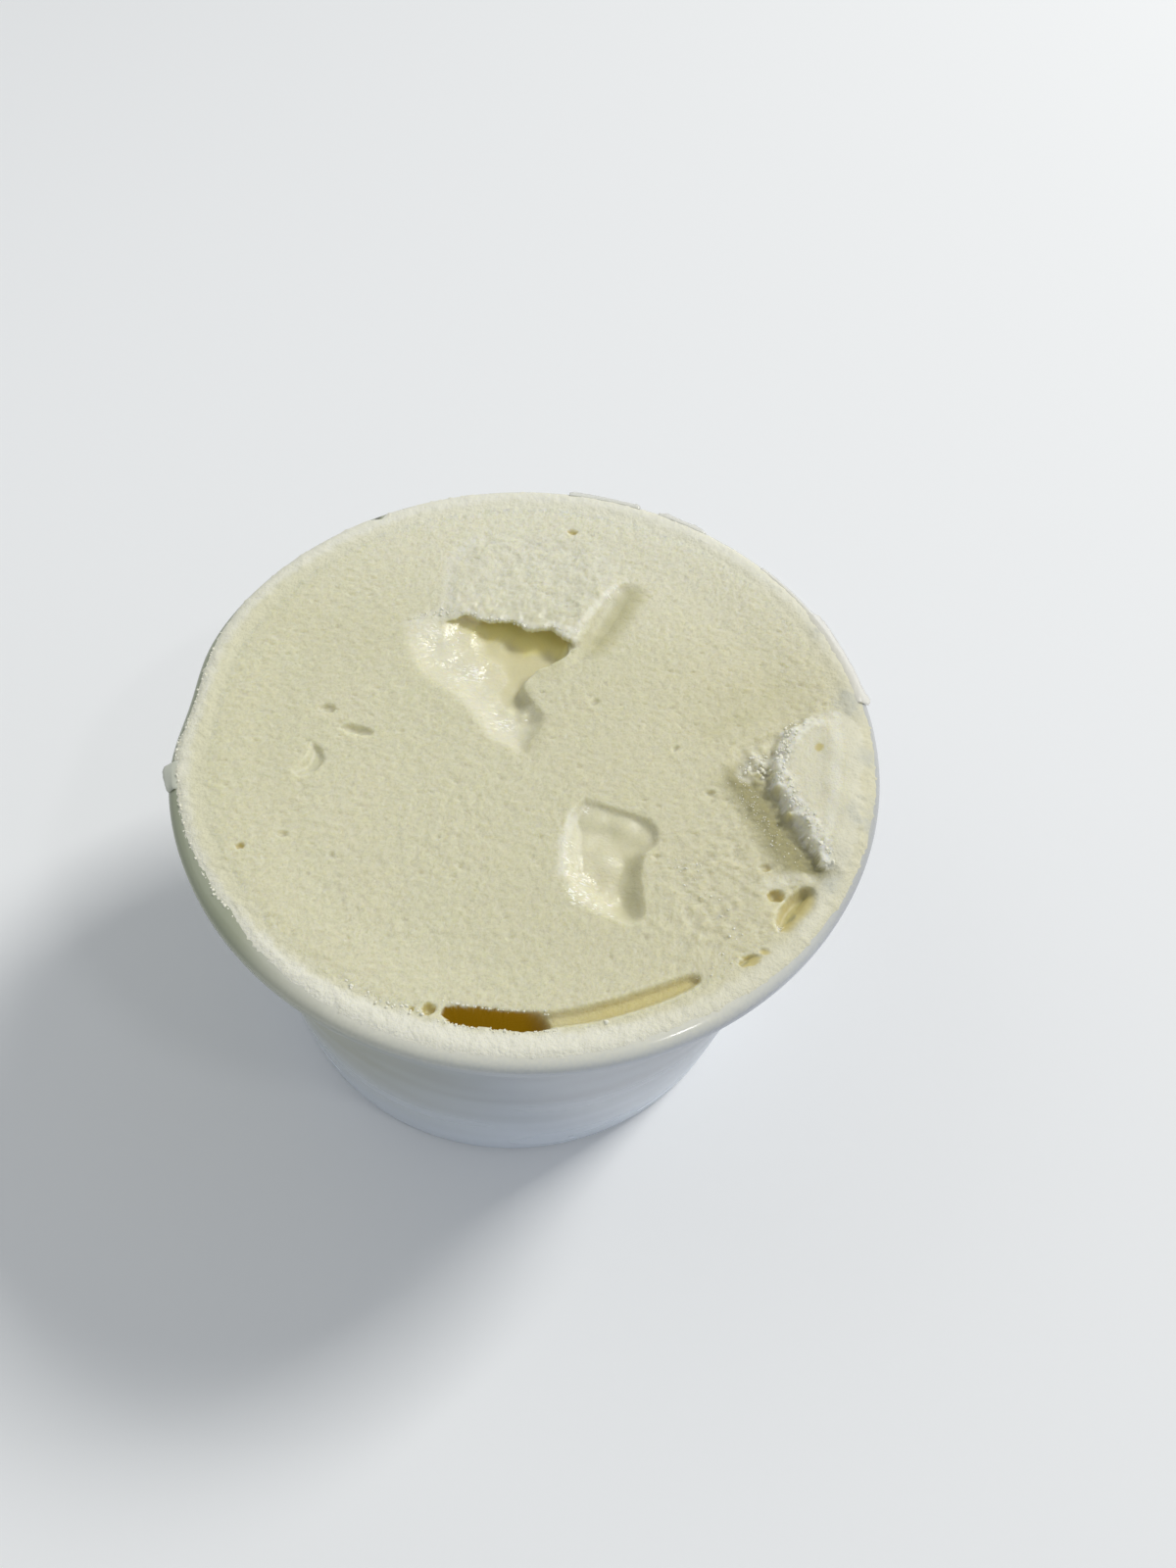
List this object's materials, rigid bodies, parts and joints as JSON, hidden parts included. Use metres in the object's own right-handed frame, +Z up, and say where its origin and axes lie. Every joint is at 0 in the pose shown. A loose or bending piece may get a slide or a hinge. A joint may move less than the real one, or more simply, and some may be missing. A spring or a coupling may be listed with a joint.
{
  "type": "gelato cup",
  "caption": "Small tapered plastic cup with a rolled rim, filled level with pale cream gelato whose frosty top is scooped and torn.",
  "frame": {"origin": "middle of the foot, on the surface that the cup stands on", "axes": "+Z up along the cup's axis, +X towards the side where the gelato is lifted against the rim, -Y towards the gap between the gelato and the wall"},
  "size_m": [0.076, 0.076, 0.0484],
  "materials": {
    "cup_plastic": "smooth glossy blue-white plastic, slightly see-through",
    "gelato": "frozen pale yellow-green cream, frosty and finely pored",
    "lid_film": "clear thin film, glossy, with frost on it"
  },
  "bodies": {
    "root": {"cup": "cup_plastic", "gelato": "gelato", "film_right": "lid_film", "film_left": "lid_film", "film_back": "lid_film", "film_back_scrap": "lid_film"}
  },
  "joints": []
}
